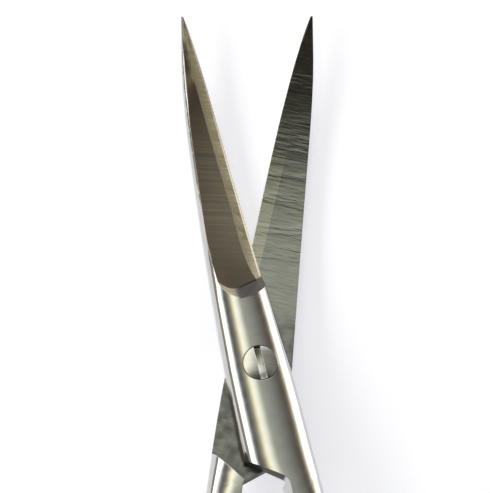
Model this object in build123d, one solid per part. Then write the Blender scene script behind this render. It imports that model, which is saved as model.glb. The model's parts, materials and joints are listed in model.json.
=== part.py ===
from build123d import *
import math
import os

os.makedirs("parts", exist_ok=True)

# Double curved gum scissors with a slotted pivot screw, lying open on a table.
# Each half is drawn in its own frame, closed: the pivot is the origin,
# +Y runs to the tip, +X to the cutting edge, +Z to the head of the screw.
# The lower half is the upper half turned half a turn about +Y, bows apart.

# Driving dimensions of the halves, in millimetres and degrees
blade_reach = 38.55
tail_reach = 76.45
box_reach = 14.05
box_height = 2.5
flat_radius = 8.0
blade_curve_radius = 85.0
mating_gap = 0.04
open_angle = 21.0
crown_ratio = 1.62
side_ratio = 0.38

# The ground face of the blade and its shoulder
shoulder_reach = 7.35
shoulder_back = -2.5
shoulder_corner = 0.9
shoulder_lean = 46.0
ridge_height = 1.8
hollow_depth = 0.07
bevel_slope = 0.42
hone_slope = 0.75
hone_width = 0.2
grind_margin = 0.6

# The slanted end of the box and the step that the other half closes against
box_corner_inset = 4.2
box_corner_reach = box_reach - box_corner_inset
box_end_angle = 36.2
box_end_round = 1.3
crotch_inner = 0.08
step_gap = 0.18
cut_depth = 20.0
cut_margin = 4.0

# The shank and the bow
closed_gap = 0.7
shank_width = 3.0
shank_height = 3.4
shank_bend = 16.0
shank_taper = 14.0
shank_run_in = 12.0
bow_bore_width = 19.5
bow_bore_length = 23.5
bow_end_radius = 10.2
bow_width = 3.4
bow_height = 3.8
bow_section_radius = 1.4
bow_web_round = 2.5
bow_web_thickness = 2.2

# The pivot screw
head_diameter = 3.75
head_angle = 90.0
head_land = 0.25
head_crown_radius = 9.0
pivot_diameter = 2.4
thread_diameter = 2.0
running_clearance = 0.03
thread_clearance = 0.02
slot_width = 0.7
slot_depth = 0.75
saw_radius = 4.5

# One row for each station of the working end: place along the blade, back,
# cutting edge and height of the bar before it is ground
blade_stations = [
    (1.00, -0.20, 0.04, 0.30),
    (0.87, -1.16, 0.88, 1.14),
    (0.73, -1.83, 1.43, 1.52),
    (0.58, -2.28, 1.87, 1.85),
    (0.43, -2.68, 2.25, 2.12),
    (0.28, -3.06, 2.63, 2.38),
    (0.13, -3.42, 3.00, box_height),
]
box_back = -3.88
box_edge = 3.66
box_stations = [
    (0.00, -3.70, 3.30, box_height),
    (0.35, -3.82, 3.52, box_height),
    (0.70, box_back, 3.62, box_height),
]

# One row for each station of the taper from the box to the shank: share of
# the taper, inner side, outer side, half height, share that is rounded
shank_middle = (closed_gap + bow_width) / 2
shank_inner = shank_middle - shank_width / 2
shank_outer = shank_middle + shank_width / 2
shank_rounding = 0.7
taper_stations = [
    (0.00, -2.90, box_edge, box_height, 0.36),
    (0.30, -0.70, box_edge, 2.32, 0.44),
    (0.62, 0.28, shank_outer, 1.98, 0.60),
    (1.00, shank_inner, shank_outer, shank_height / 2, shank_rounding),
]

# One row for each station of the grinding: share of the way from the shoulder
# to the tip, width left on the back, thickness of the cutting edge, width of
# the second bevel
ground_stations = [
    (1.10, 0.04, 0.08, 0.04),
    (1.00, 0.05, 0.08, 0.06),
    (0.85, 0.36, 0.10, 1.05),
    (0.66, 0.40, 0.10, 1.28),
    (0.48, 0.42, 0.10, 1.30),
    (0.30, 0.38, 0.10, 1.28),
    (0.17, 0.50, 0.10, 1.32),
    (0.105, 0.76, 0.14, 1.06),
    (0.05, 1.04, 0.26, 0.50),
    (-0.08, 1.30, 0.40, 0.20),
]


def rise(reach):
    """Height of the curved mating face at a distance from the pivot."""
    run = max(reach - flat_radius, 0.0)
    return blade_curve_radius - math.sqrt(blade_curve_radius ** 2 - run ** 2)


def between(rows, share, column):
    """Value of a column at a share of the blade, in line between two rows."""
    for upper, lower in zip(rows, rows[1:]):
        if share >= lower[0]:
            part = (share - lower[0]) / (upper[0] - lower[0])
            return lower[column] + part * (upper[column] - lower[column])
    return rows[-1][column]


def side_centre(wall, middle, crown_radius, base, radius):
    """Centre of the rounding that joins an upright side to the crown."""
    sign = 1.0 if wall < middle else -1.0
    across = wall + sign * radius
    up = base + math.sqrt((crown_radius - radius) ** 2 - (across - middle) ** 2)
    return across, up


def upper_outline(left, right, middle, crown_radius, height, left_radius, right_radius):
    """Ends and middles of the rounding, crown and rounding of a section."""
    base = height - crown_radius
    left_x, left_z = side_centre(left, middle, crown_radius, base, left_radius)
    right_x, right_z = side_centre(right, middle, crown_radius, base, right_radius)
    left_turn = math.atan2(left_z - base, left_x - middle)
    right_turn = math.atan2(right_z - base, right_x - middle)

    def on_arc(x, z, radius, turn):
        return x + radius * math.cos(turn), z + radius * math.sin(turn)

    return [
        (left, left_z),
        on_arc(left_x, left_z, left_radius, (math.pi + left_turn) / 2),
        on_arc(left_x, left_z, left_radius, left_turn),
        on_arc(middle, base, crown_radius, (left_turn + right_turn) / 2),
        on_arc(right_x, right_z, right_radius, right_turn),
        on_arc(right_x, right_z, right_radius, right_turn / 2),
        (right, right_z),
    ]


def bar_section(place, outline):
    """Closed section with the same outline above and below its middle."""
    top = [place(x, z) for x, z in outline]
    low = [place(x, -z) for x, z in outline]
    edges = [
        ThreePointArc(top[0], top[1], top[2]),
        ThreePointArc(top[2], top[3], top[4]),
        ThreePointArc(top[4], top[5], top[6]),
        Line(top[6], low[6]),
        ThreePointArc(low[6], low[5], low[4]),
        ThreePointArc(low[4], low[3], low[2]),
        ThreePointArc(low[2], low[1], low[0]),
        Line(low[0], top[0]),
    ]
    return Face(Wire(edges))


def crown_outline(back, edge, height, rounded):
    """Outline of the bar: a flat arch with rounded sides, widest at its foot."""
    half = (edge - back) / 2
    middle = (edge + back) / 2
    radius = rounded * half
    return upper_outline(back, edge, middle, crown_ratio * half, height, radius, radius)


def arch_height(back, edge, height, across):
    """Height of the rounded side of the bar at a distance from its back."""
    outline = crown_outline(back, edge, height, side_ratio)
    radius = side_ratio * (edge - back) / 2
    foot = outline[0][1]
    reach = min(across, radius)
    return foot + math.sqrt(radius ** 2 - (radius - reach) ** 2)


# The shank is an arc that bends down from the box, then a straight run that
# lies in the plane of the bow and passes along the near side of the bow
bend = math.radians(shank_bend)
bow_half_width = (bow_bore_width + bow_width) / 2
bow_half_length = (bow_bore_length + bow_width) / 2
straight = shank_run_in + bow_half_length + bow_width / 2
arc_radius = (tail_reach - box_reach - straight * math.cos(bend)) / math.sin(bend)
arc_length = arc_radius * bend
shank_length = arc_length + shank_run_in


def along_shank(run, x, z):
    """Point at a width and height in the section at a run along the shank."""
    turn = min(run / arc_radius, bend)
    rest = max(run - arc_length, 0.0)
    y = -box_reach - arc_radius * math.sin(turn) - rest * math.cos(turn)
    up = -arc_radius * (1 - math.cos(turn)) - rest * math.sin(turn)
    return x, y - z * math.sin(turn), up + z * math.cos(turn)


def shank_section(hand, run, inner, outer, height, rounded):
    """Section of the taper or of the shank at a run from the box."""

    def place(x, z):
        return along_shank(run, hand * x, z)

    return bar_section(place, crown_outline(inner, outer, height, rounded))


def forged_bar(hand):
    """The bar of blade and box, round above and below, tapered to the shank."""
    rows = [(share * blade_reach, *sizes) for share, *sizes in blade_stations]
    rows += [(-share * box_reach, *sizes) for share, *sizes in box_stations]
    sections = []
    for y, back, edge, height in rows:

        def place(x, z, y=y):
            return (hand * x, y, rise(y) + hand * z)

        sections.append(bar_section(place, crown_outline(back, edge, height, side_ratio)))
    for share, *sizes in taper_stations:
        sections.append(shank_section(hand, share * shank_taper, *sizes))
    return loft(sections)


def shank(hand):
    """The even part of the shank: its arc, and its straight run into the bow."""
    even = taper_stations[-1][1:]
    start = shank_section(hand, shank_taper, *even)
    centre = Axis((0, -box_reach, -arc_radius), (1, 0, 0))
    turn = math.degrees((arc_length - shank_taper) / arc_radius)
    arc = revolve(start, centre, turn)
    end = shank_section(hand, arc_length, *even)
    run_in = extrude(end, shank_run_in, dir=(0, -math.cos(bend), -math.sin(bend)))
    return arc, run_in


def ground_section(hand, y, back, edge, height, strip, land, bevel):
    """What is ground off one section: hollow face, second bevel and hone."""
    ridge_x = back + strip
    ridge_z = arch_height(back, edge, height, strip)
    hone = min(hone_width, bevel / 2)
    hone_x = edge - hone
    hone_z = land + hone_slope * hone
    bevel_x = edge - bevel
    bevel_z = hone_z + bevel_slope * (bevel - hone)
    slope = (bevel_z - ridge_z) / (bevel_x - ridge_x)
    left_x = back - grind_margin
    left_z = ridge_z + slope * (left_x - ridge_x)
    right_x = edge + grind_margin
    right_z = land - hone_slope * grind_margin
    over = box_height + 4 * grind_margin
    sag_x = (left_x + bevel_x) / 2
    sag_z = (left_z + bevel_z) / 2 - hollow_depth * (bevel_x - left_x) / 4

    def place(x, z):
        return (hand * x, y, rise(y) + hand * z)

    edges = [
        ThreePointArc(place(left_x, left_z), place(sag_x, sag_z), place(bevel_x, bevel_z)),
        Line(place(bevel_x, bevel_z), place(hone_x, hone_z)),
        Line(place(hone_x, hone_z), place(right_x, right_z)),
        Line(place(right_x, right_z), place(right_x, over)),
        Line(place(right_x, over), place(left_x, over)),
        Line(place(left_x, over), place(left_x, left_z)),
    ]
    return Face(Wire(edges))


def grinding(hand):
    """What the wheels take off the blade, down to the leaning shoulder."""
    sections = []
    for share, *sizes in ground_stations:
        y = shoulder_reach + share * (blade_reach - shoulder_reach)
        blade_share = min(y / blade_reach, 1.0)
        bar = [between(blade_stations, blade_share, column) for column in (1, 2, 3)]
        sections.append(ground_section(hand, y, *bar, *sizes))
    swept = loft(sections)

    lean = math.tan(math.radians(shoulder_lean))
    foot_y = shoulder_reach + box_height * lean
    foot_x = shoulder_back + ridge_height * lean
    wide = 3 * box_edge
    plan = Pos(hand * (foot_x + wide / 2), foot_y + blade_reach) * Rectangle(wide, 2 * blade_reach)
    corner = plan.vertices().sort_by_distance((hand * foot_x, foot_y, 0))[0]
    plan = fillet(corner, shoulder_corner)
    leaning = extrude(plan, 3 * box_height * hand, taper=-shoulder_lean)
    upright = extrude(plan, -5 * box_height * hand)
    return swept & (leaning + upright)


def box_end_line(x, hand_side):
    """Place along the box of its slanted end, or of its image, at a width."""
    slope = math.tan(math.radians(box_end_angle))
    return -box_corner_reach - slope * (hand_side * x - box_back)


def box_end(hand):
    """Plan of what lies past the end of the box, with the crotch rounded."""
    inner = crotch_inner
    far = 2 * box_back
    corners = [
        (hand * far, box_end_line(far, 1)),
        (hand * inner, box_end_line(inner, 1)),
        (hand * inner, -2 * box_reach),
        (hand * far, -2 * box_reach),
    ]
    plan = make_face(Polyline(*corners, close=True))
    crotch = plan.vertices().sort_by_distance((*corners[1], 0))[0]
    return Pos(0, 0, -cut_depth) * extrude(fillet(crotch, box_end_round), 2 * cut_depth)


def mating_tool(hand, gap):
    """Everything past the mating face, a shallow bowl that rises to the tips."""
    rim = blade_reach + cut_margin
    low = -hand * cut_depth
    half_way = (flat_radius + rim) / 2
    edges = [
        Line((0, 0, gap), (flat_radius, 0, gap)),
        ThreePointArc(
            (flat_radius, 0, gap),
            (half_way, 0, rise(half_way) + gap),
            (rim, 0, rise(rim) + gap),
        ),
        Line((rim, 0, rise(rim) + gap), (rim, 0, low)),
        Line((rim, 0, low), (0, 0, low)),
        Line((0, 0, low), (0, 0, gap)),
    ]
    bowl = revolve(Face(Wire(edges)), Axis.Z)
    drop = step_gap / math.cos(math.radians(box_end_angle))
    wide = 3 * box_edge
    corners = [
        (hand * wide, box_end_line(wide, -1) - drop),
        (hand * -wide, box_end_line(-wide, -1) - drop),
        (hand * -wide, rim),
        (hand * wide, rim),
    ]
    front = make_face(Polyline(*corners, close=True))
    return bowl & (Pos(0, 0, -cut_depth) * extrude(front, 2 * cut_depth))


def oval(half_width, half_length, end_radius):
    """Oval of four tangent arcs about the origin, with its length along Y."""
    end_y = half_length - end_radius
    side_radius = (end_y ** 2 + half_width ** 2 - end_radius ** 2) / (
        2 * (half_width - end_radius)
    )
    side_x = side_radius - half_width
    turn = math.atan2(end_y, side_x)
    join_x = side_radius * math.cos(turn) - side_x
    join_y = side_radius * math.sin(turn)
    return Wire(
        [
            ThreePointArc((-join_x, -join_y), (-half_width, 0), (-join_x, join_y)),
            ThreePointArc((-join_x, join_y), (0, half_length), (join_x, join_y)),
            ThreePointArc((join_x, join_y), (half_width, 0), (join_x, -join_y)),
            ThreePointArc((join_x, -join_y), (0, -half_length), (-join_x, -join_y)),
        ]
    )


def bow():
    """The finger bow of the upper half and its web, in the plane of the run."""
    centre_x = closed_gap / 2 + bow_width / 2 + bow_half_width
    centre = along_shank(shank_length, centre_x, 0)
    plane = Plane(origin=centre, x_dir=(1, 0, 0), z_dir=(0, -math.sin(bend), math.cos(bend)))

    outline = oval(bow_width / 2, bow_height / 2, bow_section_radius)
    section = Pos(-bow_half_width, 0, 0) * Rot(90, 0, 0) * Face(outline)
    ring = sweep(section, oval(bow_half_width, bow_half_length, bow_end_radius))

    outer_radius = bow_end_radius + bow_width / 2
    end_y = bow_half_length - bow_end_radius
    shank_side = shank_middle + bow_width / 2 - centre_x
    round_x = shank_side + bow_web_round
    round_y = end_y + math.sqrt((outer_radius + bow_web_round) ** 2 - round_x ** 2)
    inside = shank_middle - centre_x
    web = make_face(
        Polyline((inside, round_y), (round_x, round_y), (0, end_y), (inside, end_y), close=True)
    )
    web -= Pos(round_x, round_y) * Circle(bow_web_round)
    inset = bow_width / 4
    bore = oval(bow_half_width - inset, bow_half_length - inset, bow_end_radius - inset)
    web -= make_face(bore)
    web = Pos(0, 0, -bow_web_thickness / 2) * extrude(web, bow_web_thickness)
    return [plane * ring, plane * web]


def half(hand):
    """One forging: blade, box, shank and bow."""
    gap = 0.0 if hand > 0 else -mating_gap
    forging = forged_bar(hand) - mating_tool(hand, gap) - grinding(hand) - box_end(hand)
    handle = bow()
    if hand < 0:
        handle = [mirror(piece, Plane.YZ) for piece in handle]
    for piece in [*shank(hand), *handle]:
        forging += piece
    return forging


def pivot_solid(clearance, radius, top, low):
    """The turned form of the screw, or of its bore with a clearance."""
    head = head_diameter / 2 + clearance
    cone = (head - radius) / math.tan(math.radians(head_angle / 2))
    shoulder = box_height - head_land
    outline = Polyline(
        (0, 0, top),
        (head, 0, top),
        (head, 0, shoulder),
        (radius, 0, shoulder - cone),
        (radius, 0, low),
        (0, 0, low),
        close=True,
    )
    return revolve(Face(Wire(outline.edges())), Axis.Z)


def screw():
    """Countersunk screw: crowned head, slot, bearing and thread in the lower half."""
    turned = pivot_solid(0, pivot_diameter / 2, box_height + 1, -mating_gap)
    crown = Pos(0, 0, box_height - head_crown_radius) * Rot(90, 0, 0) * Cylinder(
        head_crown_radius, 2 * head_diameter
    )
    body = turned & crown
    end_length = box_height - mating_gap
    end = Cylinder(thread_diameter / 2, end_length, align=(Align.CENTER, Align.CENTER, Align.MAX))
    saw = Pos(0, 0, box_height - slot_depth + saw_radius) * Rot(0, 90, 0) * Cylinder(
        saw_radius, slot_width
    )
    return body + Pos(0, 0, -mating_gap) * end - saw


upper = half(1) - pivot_solid(
    running_clearance, pivot_diameter / 2 + running_clearance, 2 * box_height, -2 * box_height
)
lower = half(-1) - Cylinder(thread_diameter / 2 + thread_clearance, 4 * box_height)
pivot_screw = screw()

# The halves are opened about the screw, each by half of the angle
half_turn = open_angle / 2
upper = Rot(0, 0, half_turn) * upper
lower = Rot(0, 0, -half_turn) * lower
pivot_screw = Rot(0, 0, half_turn) * pivot_screw


def lean_of(across, reach, low):
    """Lean that would bring a point of the belly level with the bows."""
    turn = math.radians(half_turn)
    bow_x = closed_gap / 2 + bow_width / 2 + bow_half_width
    _, bow_y, bow_z = along_shank(shank_length + bow_half_length, bow_x, -bow_height / 2)
    bow_reach = bow_x * math.sin(turn) + bow_y * math.cos(turn)
    point_reach = reach * math.cos(turn) - across * math.sin(turn)
    return math.degrees(math.atan2(low - bow_z, point_reach - bow_reach))


# At rest the double curve lies on the two bows and on the belly of the lower
# blade, so the box leans towards the tips
belly = [
    lean_of((back + edge) / 2, share * blade_reach, rise(share * blade_reach) - height)
    for share, back, edge, height in blade_stations
]
rest_lean = min(belly)
pieces = {"upper_half": upper, "lower_half": lower, "pivot_screw": pivot_screw}
leaning_pieces = {name: Rot(-rest_lean, 0, 0) * piece for name, piece in pieces.items()}
space = Compound(children=[Part(piece.wrapped) for piece in leaning_pieces.values()]).bounding_box()
shift = Pos(-space.center().X, -space.center().Y, -space.min.Z)
for name, piece in leaning_pieces.items():
    placed = shift * piece
    print(name, placed.is_valid, round(placed.volume, 2), len(placed.solids()), placed.bounding_box())
    export_step(placed, f"parts/{name}.step")
print("lean of the box at rest", rest_lean)
print("pivot", shift.position)
print("axis", (0, math.sin(math.radians(rest_lean)), math.cos(math.radians(rest_lean))))
print("box", space.size)
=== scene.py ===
import json
import math

import bpy
from mathutils import Matrix, Vector

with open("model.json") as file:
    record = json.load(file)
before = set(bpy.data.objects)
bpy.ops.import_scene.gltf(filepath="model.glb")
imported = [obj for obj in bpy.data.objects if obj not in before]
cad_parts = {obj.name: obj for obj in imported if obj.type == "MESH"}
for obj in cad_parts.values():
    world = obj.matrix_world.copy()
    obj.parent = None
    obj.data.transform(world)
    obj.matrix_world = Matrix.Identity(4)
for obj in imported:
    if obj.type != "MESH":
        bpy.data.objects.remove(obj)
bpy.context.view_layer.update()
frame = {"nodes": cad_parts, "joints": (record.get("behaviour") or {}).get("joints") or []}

# Lower half: one forging of stainless steel, blade, box, shank and bow in a
# piece, with the screw threaded into its box. Its flat face shows: it is ground
# across on a coarse wheel, while the rounded body is polished to a satin.
mm = 0.001
joint = frame["joints"][0]
pivot = Vector(joint["pos_m"])
lean = math.atan2(joint["axis"][1], joint["axis"][2])
rest_turn = math.radians(10.5)
blade_curve_radius = 85.0 * mm
curve_start = 8.0 * mm
shoulder_reach = 7.35 * mm
shoulder_height = 2.5 * mm
shoulder_slope = math.tan(math.radians(46.0))
box_reach = 14.05 * mm
crown_ratio = 1.62
side_ratio = 0.38
bore_radius = 1.93 * mm
edge_round = 0.1 * mm
scratch_slant = 0.05
lower_blade_slant = 0.1


def half_axes(turn):
    """Turn of a half's own frame, with +Y along its blade and +Z to the screw head."""
    return Matrix.Rotation(-lean, 4, "X") @ Matrix.Rotation(turn, 4, "Z")


class Shade:
    """One output in a material's nodes, on which sums are written as they are."""

    def __init__(self, tree, socket=None):
        self.tree = tree
        self.socket = socket

    def node(self, kind, settings=None, inputs=None, output=0):
        """A new node: its settings first, then the values or links of its sockets."""
        made = self.tree.nodes.new("ShaderNode" + kind)
        for name, value in (settings or {}).items():
            if name == "stops":
                ramp = made.color_ramp
                while len(ramp.elements) < len(value):
                    ramp.elements.new(1.0)
                for element, (position, colour) in zip(ramp.elements, value):
                    element.position = position
                    element.color = (*colour, 1.0)
            else:
                setattr(made, name, value)
        for name, value in (inputs or {}).items():
            if isinstance(value, Shade):
                self.tree.links.new(value.socket, made.inputs[name])
            else:
                made.inputs[name].default_value = value
        return Shade(self.tree, made.outputs[output] if made.outputs else None)

    def part(self, output):
        """Another output of the same node."""
        return Shade(self.tree, self.socket.node.outputs[output])

    def maths(self, operation, *values):
        return self.node("Math", {"operation": operation}, dict(enumerate(values)))

    def __add__(self, other):
        return self.maths("ADD", self, other)

    def __radd__(self, other):
        return self.maths("ADD", other, self)

    def __sub__(self, other):
        return self.maths("SUBTRACT", self, other)

    def __rsub__(self, other):
        return self.maths("SUBTRACT", other, self)

    def __mul__(self, other):
        return self.maths("MULTIPLY", self, other)

    def __rmul__(self, other):
        return self.maths("MULTIPLY", other, self)

    def __truediv__(self, other):
        return self.maths("DIVIDE", self, other)

    def size(self):
        """The value without its sign."""
        return self.maths("ABSOLUTE", self)

    def root(self):
        return self.maths("SQRT", self)

    def at_least(self, other):
        return self.maths("MAXIMUM", self, other)

    def at_most(self, other):
        return self.maths("MINIMUM", self, other)

    def above(self, low, high):
        """0 below low, 1 above high, and smooth between."""
        limits = {"Value": self, "From Min": low, "From Max": high}
        return self.node("MapRange", {"interpolation_type": "SMOOTHSTEP"}, limits)

    def below(self, low, high):
        """1 below low, 0 above high, and smooth between."""
        return 1.0 - self.above(low, high)

    def tint(self, low, high):
        """A colour that goes from low to high with this value."""
        low = low if isinstance(low, Shade) else (*low, 1.0)
        high = high if isinstance(high, Shade) else (*high, 1.0)
        ends = {"Factor": self, 6: low, 7: high}
        return self.node("Mix", {"data_type": "RGBA"}, ends, output=2)


def own_place(start, axes):
    """A point and its normal in a half's own frame, in metres."""
    turned = axes.to_euler()
    at = start.node("TexCoord", output=3)
    place = {"Vector": at, "Location": pivot, "Rotation": turned}
    normal = {"Vector": at.part(1), "Rotation": turned}
    return (
        start.node("Mapping", {"vector_type": "TEXTURE"}, place),
        start.node("Mapping", {"vector_type": "TEXTURE"}, normal),
    )


def lines(place, spacing, length, slant, detail):
    """Noise drawn out into lines."""
    slanted = place.node("Mapping", {}, {"Vector": place, "Rotation": (0, 0, slant)})
    scale = (1 / length, 1 / spacing, 1 / length)
    drawn = place.node("Mapping", {}, {"Vector": slanted, "Scale": scale})
    return place.node("TexNoise", {}, {"Vector": drawn, "Scale": 1.0, "Detail": detail})


def empty_material(name):
    """An empty material, and the start of its nodes."""
    material = bpy.data.materials.new(name)
    material.use_nodes = True
    material.node_tree.nodes.clear()
    return material, Shade(material.node_tree)


def broken_edges(start):
    """The facing of the surface, with its sharp edges broken a little."""
    return start.node("Bevel", {"samples": 6}, {"Radius": edge_round})


def finish_steel(start, colour, rough, relief, facing, painted_shade):
    """Bare metal with its grinding lines standing in it, and painted shade, a dark rough
    coat mixed over it, where it lies in shade.
    """
    ground = {"Strength": 1.0, "Distance": 1.0, "Height": relief, "Normal": facing}
    polished = {
        "Base Color": colour,
        "Metallic": 1.0,
        "Roughness": rough,
        "Normal": start.node("Bump", {}, ground),
    }
    # Painted shade: a dark, rough coat for the walls that lie in shade
    shaded = {
        "Base Color": (0.06, 0.055, 0.05, 1.0),
        "Roughness": 0.8,
        "Specular IOR Level": 0.1,
    }
    bare = start.node("BsdfPrincipled", {}, polished)
    dark = start.node("BsdfPrincipled", {}, shaded)
    surface = start.node("MixShader", {}, {0: painted_shade, 1: bare, 2: dark})
    start.node("OutputMaterial", {}, {"Surface": surface})


def crown_facing(start, axes, side, across, along):
    """The facing of the box's outer side, flat on top and round at its sides."""
    # Place along the box, then its half width and its middle in millimetres
    widths = [
        (-box_reach, 3.28, 0.38),
        (-13.2 * mm, 3.42, 0.24),
        (-12.4 * mm, 3.54, 0.11),
        (-11.6 * mm, 3.65, 0.00),
        (-10.8 * mm, 3.72, -0.09),
        (-9.84 * mm, 3.75, -0.13),
        (-7.4 * mm, 3.72, -0.14),
        (-4.92 * mm, 3.67, -0.15),
        (-2.4 * mm, 3.60, -0.17),
        (0.0 * mm, 3.50, -0.20),
        (5.01 * mm, 3.21, -0.21),
        (10.79 * mm, 2.84, -0.22),
    ]
    # A ramp holds 0 to 1 only, so the widths are divided and the middles shifted
    full_width = 5.0
    middle_shift = 0.5
    first, last = widths[0][0], widths[-1][0]
    stops = []
    for place, half, middle in widths:
        held = (half / full_width, middle + middle_shift, 0.0)
        stops.append(((place - first) / (last - first), held))
    share_along = (along - first) * (1 / (last - first))
    ramp = start.node("ValToRGB", {"stops": stops}, {"Fac": share_along})
    width = start.node("SeparateColor", {}, {0: ramp})
    off_middle = across * (side / mm) - width.part(1) + middle_shift
    share_out = (off_middle.size() / (width * full_width)).at_most(1.0)
    crown_lean = share_out * (1 / crown_ratio)
    side_lean = share_out * (1 / side_ratio) - (1.0 - side_ratio) / side_ratio
    lean_out = crown_lean.at_least(side_lean)
    upward = (1.0 - lean_out * lean_out).at_least(0.0).root()
    outward = lean_out * off_middle.maths("SIGN", off_middle) * side
    own = start.node("CombineXYZ", {}, {"X": outward, "Z": upward * side})
    turned = {"Vector": own, "Rotation": axes.to_euler()}
    body = start.node("Mapping", {"vector_type": "VECTOR"}, turned)
    kinds = {"vector_type": "NORMAL", "convert_from": "OBJECT", "convert_to": "WORLD"}
    return start.node("VectorTransform", kinds, {"Vector": body})


class Zones:
    """The zones of a half's surface, each 1 inside and 0 outside it.

    Every pair of limits is where a soft edge begins and where it ends.
    """

    def __init__(self, start, axes, side):
        self.place, normal = own_place(start, axes)
        self.across = self.place.node("SeparateXYZ", {}, {0: self.place})
        self.along = self.across.part(1)
        run = (self.along - curve_start).at_least(0.0)
        rise = blade_curve_radius - (blade_curve_radius**2 - run * run).root()
        self.height = (self.across.part(2) - rise) * side
        set_back = (shoulder_height - self.height) * shoulder_slope
        self.past_shoulder = self.along - shoulder_reach - set_back
        self.to_pivot = (self.across * self.across + self.along * self.along).root()
        facing = normal.node("SeparateXYZ", {}, {0: normal})
        self.lengthward = facing.part(1)
        self.outward = facing.part(2) * side
        self.edgeward = facing * side
        outer_facing = (0.1, 0.3)
        self.outer = self.outward.above(*outer_facing)
        self.add_flat_face(side)
        self.add_blade()
        self.add_box()
        self.add_painted_shade_walls(side)

    def add_flat_face(self, side):
        """The face that the other half slides on, its pale strip, and its lapped end,
        which is painted darker as shade.
        """
        down_facing = (0.8, 0.9)
        mating_height = (-0.3 * mm, -0.1 * mm)
        shank_end = (-16.5 * mm, -16.0 * mm)
        self.flat = (
            (self.outward * -1.0).above(*down_facing)
            * self.height.above(*mating_height)
            * self.along.above(*shank_end)
        )

        strip_slant = 0.086
        strip_side = 2.22 * mm
        strip_edge = (0.0, 0.1 * mm)
        strip_start = (0.0, 4.0 * mm)
        strip_end = (21.0 * mm, 27.0 * mm)
        strip = self.across * side + self.along * strip_slant - strip_side
        self.strip = (
            strip.above(*strip_edge)
            * self.along.above(*strip_start)
            * self.along.below(*strip_end)
        )
        lap_end = (3.0 * mm, 8.0 * mm)
        self.lapped_and_shaded = self.along.below(*lap_end)

    def add_blade(self):
        """The ground outer face, the foot of its shoulder and its second bevel."""
        shoulder_line = (-0.10 * mm, -0.02 * mm)
        shoulder_foot = (0.03 * mm, 0.30 * mm)
        ground_facing = (-0.15, -0.02)
        bevel_facing = (0.34, 0.37)
        bevel_height = (0.74 * mm, 0.80 * mm)
        hone_facing = (0.50, 0.55)
        self.blade = (
            self.past_shoulder.above(*shoulder_line)
            * self.outer
            * self.edgeward.above(*ground_facing)
        )
        self.run_out = self.blade * self.past_shoulder.below(*shoulder_foot)
        self.bevel = (
            self.edgeward.above(*bevel_facing) * self.height.below(*bevel_height)
        )
        self.hone = self.edgeward.above(*hone_facing)

    def add_box(self):
        """The crowned outer side of the box, clear of the blade and the screw."""
        cut_line = (-0.14 * mm, -0.04 * mm)
        cut_facing = (-0.25, -0.1)
        box_start = (-13.9 * mm, -12.9 * mm)
        box_end = (7.5 * mm, 10.5 * mm)
        round_screw = (bore_radius, bore_radius + 0.1 * mm)
        cut_away = (
            self.past_shoulder.above(*cut_line) * self.edgeward.above(*cut_facing)
        )
        self.box = (
            self.outer
            * (1.0 - cut_away)
            * self.along.above(*box_start)
            * self.along.below(*box_end)
            * self.to_pivot.above(*round_screw)
        )

    def add_painted_shade_walls(self, side):
        """Painted shade on the walls that mirror each other: of the step, beside it, and
        of the bore.
        """
        wall_facing = (0.35, 0.5)
        lengthward_facing = (0.5, 0.7)
        step_start = (-16.5 * mm, -16.0 * mm)
        step_end = (-9.0 * mm, -8.0 * mm)
        back_side = (2.9 * mm, 3.1 * mm)
        back_start = (-13.8 * mm, -13.4 * mm)
        back_end = (-3.0 * mm, -1.0 * mm)
        in_bore = (bore_radius - 0.04 * mm, bore_radius)
        most_painted_shade = 0.9
        upright = self.outward.size().below(*wall_facing)
        step_wall = (
            self.lengthward.size().above(*lengthward_facing)
            * self.along.above(*step_start)
            * self.along.below(*step_end)
        )
        side_wall = (
            (self.across * -side).above(*back_side)
            * self.along.below(*back_end)
            * self.along.above(*back_start)
        )
        # Painted shade: these walls, and the bore wall round the screw, are painted dark
        walls = upright * step_wall.at_least(side_wall) * most_painted_shade
        self.painted_shade = walls.at_least(self.to_pivot.below(*in_bore))


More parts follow.
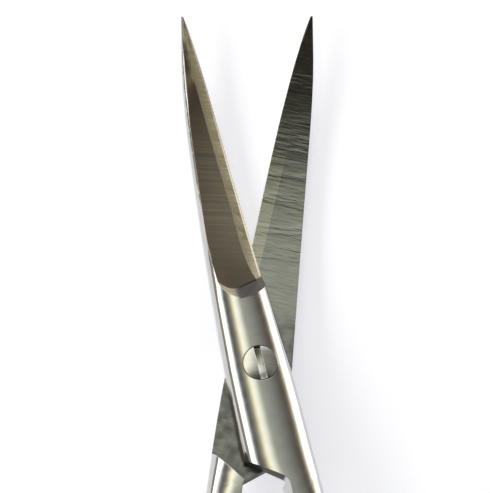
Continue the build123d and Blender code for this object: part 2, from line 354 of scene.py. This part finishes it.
def half_steel(name, axes, side, blade_slant):
    """Satin body, finely ground blade and coarsely ground flat face of a half."""
    material, start = empty_material(name)
    zones = Zones(start, axes, side)
    place, along = zones.place, zones.along
    flat, blade = zones.flat, zones.blade
    rounded = 1.0 - flat - blade

    # The lines that polishing and grinding leave: the satin of the body, the fine
    # lines across the blade, and the coarse ones with deeper patches and grooves
    # across the flat face. Each pair is where a noise begins to show and is full.
    middling = (0.3, 0.7)
    scored_share = (0.32, 0.68)
    patchy = (0.45, 0.62)
    grooved = (0.68, 0.72)
    satin = lines(place, spacing=0.09 * mm, length=0.9 * mm, slant=0.0, detail=2.0)
    fine = lines(
        place, spacing=0.10 * mm, length=14.0 * mm, slant=blade_slant, detail=2.0
    )
    streak = lines(
        place, spacing=0.30 * mm, length=30.0 * mm, slant=blade_slant, detail=2.0
    )
    coarse = lines(
        place, spacing=0.14 * mm, length=2.6 * mm, slant=scratch_slant, detail=3.0
    )
    wave = lines(
        place, spacing=0.36 * mm, length=2.4 * mm, slant=scratch_slant, detail=2.0
    )
    patch = lines(place, spacing=2.0 * mm, length=12.0 * mm, slant=0.0, detail=1.0)
    patch = patch.above(*patchy)
    groove = lines(
        place, spacing=0.55 * mm, length=30.0 * mm, slant=scratch_slant, detail=1.0
    )
    groove = groove.above(*grooved)
    cloud = start.node("TexNoise", {}, {"Vector": place, "Scale": 900.0, "Detail": 3.0})
    worn = cloud.above(*middling)
    lined = (streak * 0.5 + fine * 0.5).above(*middling)
    cut = (coarse * 0.5 + wave * 0.5).above(*scored_share)

    # How far these lines stand in the metal, in millimetres
    satin_depth = 0.0004
    fine_depth, streak_depth = 0.0007, 0.0008
    coarse_depth, wave_depth, patch_depth, groove_depth = 0.010, 0.016, 0.036, 0.012
    scratched = wave * (patch * patch_depth + wave_depth)
    relief = (
        satin * (rounded * (satin_depth * mm))
        + (fine * fine_depth + streak * streak_depth) * (blade * mm)
        + (coarse * coarse_depth + scratched - groove * groove_depth) * (flat * mm)
    )

    # The polished body, a little lighter where it is worn
    satin_grey = (0.585, 0.58, 0.56)
    satin_light = (0.62, 0.615, 0.60)
    bright = worn.tint(satin_grey, satin_light)

    # The blade: its hollow face, brown at the shoulder and painted dark at the tip as
    # shade, and its second bevel, a painted highlight light along the edge and paler to
    # the tip, with painted shade deeper above it
    hollow_root = (8.0 * mm, 20.0 * mm)
    hollow_tip = (18.0 * mm, 32.0 * mm)
    bevel_tip = (12.0 * mm, 30.0 * mm)
    bevel_depth = (0.15 * mm, 0.75 * mm)
    line_strength = 0.7
    line_brown, line_gold = (0.45, 0.41, 0.32), (0.71, 0.64, 0.51)
    root_brown, tip_shade_brown = (0.44, 0.40, 0.32), (0.29, 0.26, 0.21)
    root_highlight, tip_highlight = (0.56, 0.54, 0.45), (0.84, 0.82, 0.70)
    root_shade, tip_shade = (0.29, 0.28, 0.23), (0.44, 0.43, 0.36)
    hone_highlight_brown = (0.30, 0.27, 0.20)
    foot_shade = (0.10, 0.09, 0.085)
    hollow = lined.tint(line_brown, line_gold)
    hollow = along.above(*hollow_root).tint(root_brown, hollow)
    hollow = along.above(*hollow_tip).tint(hollow, tip_shade_brown)
    tipward = along.above(*bevel_tip)
    light = tipward.tint(root_highlight, tip_highlight)
    bevel_shade = tipward.tint(root_shade, tip_shade)
    sharp = zones.height.above(*bevel_depth).tint(light, bevel_shade)
    sharp = ((1.0 - lined) * line_strength).tint(sharp, bevel_shade)
    brushed = zones.bevel.tint(hollow, sharp)
    # Painted highlight tone: the hone is painted brown, so the white it mirrors shows
    # cream
    brushed = zones.hone.tint(brushed, hone_highlight_brown)
    # Painted shade: the foot of the shoulder is painted near black
    brushed = zones.run_out.tint(brushed, foot_shade)

    # The flat face: scored all over, pale along its strip, dark in its grooves, mottled
    # about the joint, where the halves rub, with painted shade there, and painted dimmer
    # to the tip as shade
    scored_tip = (18.0 * mm, 34.0 * mm)
    cut_grey, cut_light = (0.48, 0.49, 0.45), (0.62, 0.63, 0.58)
    strip_cream = (0.76, 0.75, 0.63)
    groove_dark = (0.2, 0.19, 0.17)
    lap_grey, lap_worn_shade = (0.44, 0.44, 0.41), (0.23, 0.23, 0.21)
    tip_shade_grey = (0.35, 0.34, 0.30)
    scored = cut.tint(cut_grey, cut_light)
    scored = zones.strip.tint(scored, strip_cream)
    scored = groove.tint(scored, groove_dark)
    # Painted shade: about the joint, beside the other half, the face is painted darker,
    # mottled by wear
    scored = zones.lapped_and_shaded.tint(scored, worn.tint(lap_grey, lap_worn_shade))
    # Painted shade: the face is painted dimmer toward the tip
    scored = along.above(*scored_tip).tint(scored, tip_shade_grey)
    colour = flat.tint(blade.tint(bright, brushed), scored)

    # Each finish has its own roughness, and a little more where it is worn or cut
    body_rough = 0.13 + worn * 0.02
    blade_rough = 0.15 + lined * 0.04
    flat_rough = 0.17 + cut * 0.06
    rough = rounded * body_rough + blade * blade_rough + flat * flat_rough

    crown = crown_facing(start, axes, side, zones.across, along)
    ends = {"Factor": zones.box, 4: broken_edges(start), 5: crown}
    smoothed = start.node("Mix", {"data_type": "VECTOR"}, ends, output=1)
    facing = start.node("VectorMath", {"operation": "NORMALIZE"}, {0: smoothed})
    finish_steel(start, colour, rough, relief, facing, zones.painted_shade)
    return material


upper_axes = half_axes(rest_turn)
lower_axes = half_axes(-rest_turn)
lower_piece = frame["nodes"]["lower_half"]
lower_steel = half_steel("lower_ground_and_satin", lower_axes, -1.0, lower_blade_slant)
lower_piece.data.materials.clear()
lower_piece.data.materials.append(lower_steel)

# Upper half: a second forging of the same kind, turned over, its bow apart. Its
# outer side shows: the satin body, the hollow-ground face of the blade and the
# second bevel along the edge.
upper_blade_slant = 0.16
upper_piece = frame["nodes"]["upper_half"]
upper_steel = half_steel("upper_ground_and_satin", upper_axes, 1.0, upper_blade_slant)
upper_piece.data.materials.clear()
upper_piece.data.materials.append(upper_steel)

# Pivot screw: turned stainless steel, its crowned head ground flush and slotted
# with a saw, let into a countersink of the upper half.
screw_piece = frame["nodes"]["pivot_screw"]
head_radius = 1.875 * mm
rim_edge = (head_radius - 0.07 * mm, head_radius - 0.01 * mm)
slot_floor = (2.1 * mm, 2.3 * mm)
head_tilt = 0.035
head_crown_radius = 8.0 * mm
worn_end_place = 0.7 * mm
worn_end_radius = 3.5 * mm
turning_depth = 0.0005 * mm
sawing_depth = 0.002 * mm
middling = (0.3, 0.7)
turned_grey, turned_light = (0.58, 0.57, 0.54), (0.66, 0.65, 0.62)
rim_gap_shade = (0.12, 0.11, 0.09)
screw_steel, start = empty_material("screw_turned_steel")
place, normal = own_place(start, upper_axes)
across = place.node("SeparateXYZ", {}, {0: place})
along = across.part(1)
radius = (across * across + along * along).root()
rim = radius.above(*rim_edge)
in_slot = across.part(2).below(*slot_floor)
turning = lines(place, spacing=0.12 * mm, length=1.4 * mm, slant=0.3, detail=3.0)
sawing = lines(place, spacing=0.8 * mm, length=0.09 * mm, slant=0.0, detail=2.0)
worn = turning.above(*middling)
# Painted shade: the rim of the head is painted dark, for the shade in the gap round it
colour = rim.tint(worn.tint(turned_grey, turned_light), rim_gap_shade)
rough = 0.14 + worn * 0.04 + in_slot * 0.16
crown = across.size() * -head_tilt + along * along * (-1 / (2 * head_crown_radius))
from_end = along - worn_end_place
hollow = from_end * from_end * (in_slot * (1 / (2 * worn_end_radius)))
relief = turning * turning_depth + sawing * (in_slot * sawing_depth) + crown + hollow
finish_steel(start, colour, rough, relief, broken_edges(start), 0.0)
screw_piece.data.materials.clear()
screw_piece.data.materials.append(screw_steel)

# Table: a sheet of white paper that runs past the view, and keeps the shadow. It
# is brighter to the camera and in mirrors and glass, and lights nothing by that.
reach = 3.0
glow = 0.44
blue_glow = 1.08 * glow
paper_grey, paper_white = (0.85, 0.86, 0.93), (0.88, 0.89, 0.96)
no_glow = (0.0, 0.0, 0.0)
table_mesh = bpy.data.meshes.new("table")
corners = [
    (-reach, -reach, 0),
    (reach, -reach, 0),
    (reach, reach, 0),
    (-reach, reach, 0),
]
table_mesh.from_pydata(corners, [], [(0, 1, 2, 3)])
table = bpy.data.objects.new("table", table_mesh)
bpy.context.scene.collection.objects.link(table)
paper, start = empty_material("white_paper")
ray = start.node("LightPath")
seen = ray + ray.part("Is Glossy Ray") + ray.part("Is Transmission Ray")
grain = start.node("TexNoise", {}, {"Scale": 900.0, "Detail": 2.0})
sheet = {
    "Base Color": grain.tint(paper_grey, paper_white),
    "Roughness": 0.9,
    "Specular IOR Level": 0.0,
    "Emission Color": seen.tint(no_glow, (glow, glow, blue_glow)),
    "Emission Strength": 1.0,
}
start.node("OutputMaterial", {}, {"Surface": start.node("BsdfPrincipled", {}, sheet)})
table_mesh.materials.append(paper)

# Light: a white studio of long soft panels beside and over the table, with dark
# gaps between them, which the steel mirrors as bright and dark strips.
world = bpy.data.worlds.new("studio")
bpy.context.scene.world = world
world.use_nodes = True
world.node_tree.nodes.clear()
start = Shade(world.node_tree)
direction = start.node("TexCoord")
sideways = direction.node("SeparateXYZ", {}, {0: direction})
forward = sideways.part(1)
up = sideways.part(2)
turn = sideways.maths("ARCTAN2", sideways, up)

# Degrees to the side of straight up, and the tone of the light from there
widest = 95.0
panels = [
    (-95, (0.45, 0.45, 0.45)),
    (-84, (0.30, 0.28, 0.24)),
    (-72, (0.35, 0.32, 0.26)),
    (-62, (0.75, 0.70, 0.58)),
    (-59, (3.0, 2.9, 2.6)),
    (-47, (3.0, 3.05, 3.0)),
    (-43.5, (0.60, 0.68, 0.72)),
    (-41, (0.16, 0.17, 0.18)),
    (-38, (0.08, 0.075, 0.07)),
    (-34, (0.17, 0.16, 0.14)),
    (-28, (0.42, 0.40, 0.29)),
    (-25, (0.85, 0.80, 0.55)),
    (-21, (1.55, 1.45, 1.05)),
    (-17, (1.75, 1.70, 1.45)),
    (-11, (1.40, 1.42, 1.25)),
    (-6, (0.85, 0.88, 0.75)),
    (-1, (0.53, 0.55, 0.46)),
    (6, (0.47, 0.48, 0.43)),
    (14, (0.40, 0.41, 0.37)),
    (24, (0.31, 0.32, 0.29)),
    (32, (0.24, 0.24, 0.21)),
    (38, (0.19, 0.18, 0.16)),
    (44, (0.14, 0.125, 0.11)),
    (50, (0.14, 0.11, 0.09)),
    (54, (0.30, 0.25, 0.17)),
    (57.5, (0.75, 0.65, 0.46)),
    (60.5, (1.5, 1.40, 1.15)),
    (63, (3.0, 2.95, 2.85)),
    (95, (2.9, 2.95, 3.0)),
]
stops = [((angle + widest) / (2 * widest), tone) for angle, tone in panels]
across = turn * (1 / math.radians(2 * widest)) + 0.5
tone = start.node("ValToRGB", {"stops": stops}, {"Fac": across})

# Three things that cross the panels: a dark corner low on the right, the dark
# room overhead and toward the bows, and a lit wall beyond the tips
corner_side = (0.80, 0.815)
corner_front = (0.16, 0.34)
room_left = (0.37, 0.45)
room_right = (0.62, 0.66)
room_front = (-0.09, 0.34)
far_wall = (0.62, 0.80)
corner_tone = (0.07, 0.06, 0.045)
room_tone = (0.03, 0.028, 0.022)
far_wall_tone = (1.5, 1.5, 1.45)
corner = across.above(*corner_side) * forward.below(*corner_front)
room = (
    across.above(*room_left)
    * across.below(*room_right)
    * forward.below(*room_front)
)
tone = corner.tint(tone, corner_tone)
tone = room.tint(tone, room_tone)
tone = forward.above(*far_wall).tint(tone, far_wall_tone)

# From table level the camera looks past the sheet, and sees a white backdrop
white = (1.0, 1.0, 1.0)
sky = start.node("LightPath").tint(tone, white)
air = start.node("Background", {}, {"Color": sky, "Strength": 1.0})
start.node("OutputWorld", {}, {"Surface": air})

# Camera: looking down on the working end from 0.4 m, the bows out of the view.
target = Vector((-0.00097, 0.03099, 0.004))
distance = 0.399
look_side = math.radians(-7.17)
look_back = math.radians(-7.05)
roll = math.radians(-1.80)
focal_pixels = 3697.4
photo_width = 490.0
sensor_width = 36.0
back = Vector((math.tan(look_side), math.tan(look_back), 1.0)).normalized()
right = Vector((0, 1, 0)).cross(back).normalized()
above = back.cross(right)
turned_right = math.cos(roll) * right + math.sin(roll) * above
turned_above = math.cos(roll) * above - math.sin(roll) * right
lens = bpy.data.cameras.new("camera")
lens.sensor_fit = "HORIZONTAL"
lens.sensor_width = sensor_width
lens.lens = focal_pixels / photo_width * sensor_width
lens.clip_start = 0.01
lens.clip_end = 20.0
camera = bpy.data.objects.new("camera", lens)
bpy.context.scene.collection.objects.link(camera)
facing = Matrix((turned_right, turned_above, back)).transposed().to_4x4()
camera.matrix_world = Matrix.Translation(target + distance * back) @ facing
bpy.context.scene.camera = camera
bpy.context.scene.view_settings.view_transform = "Standard"
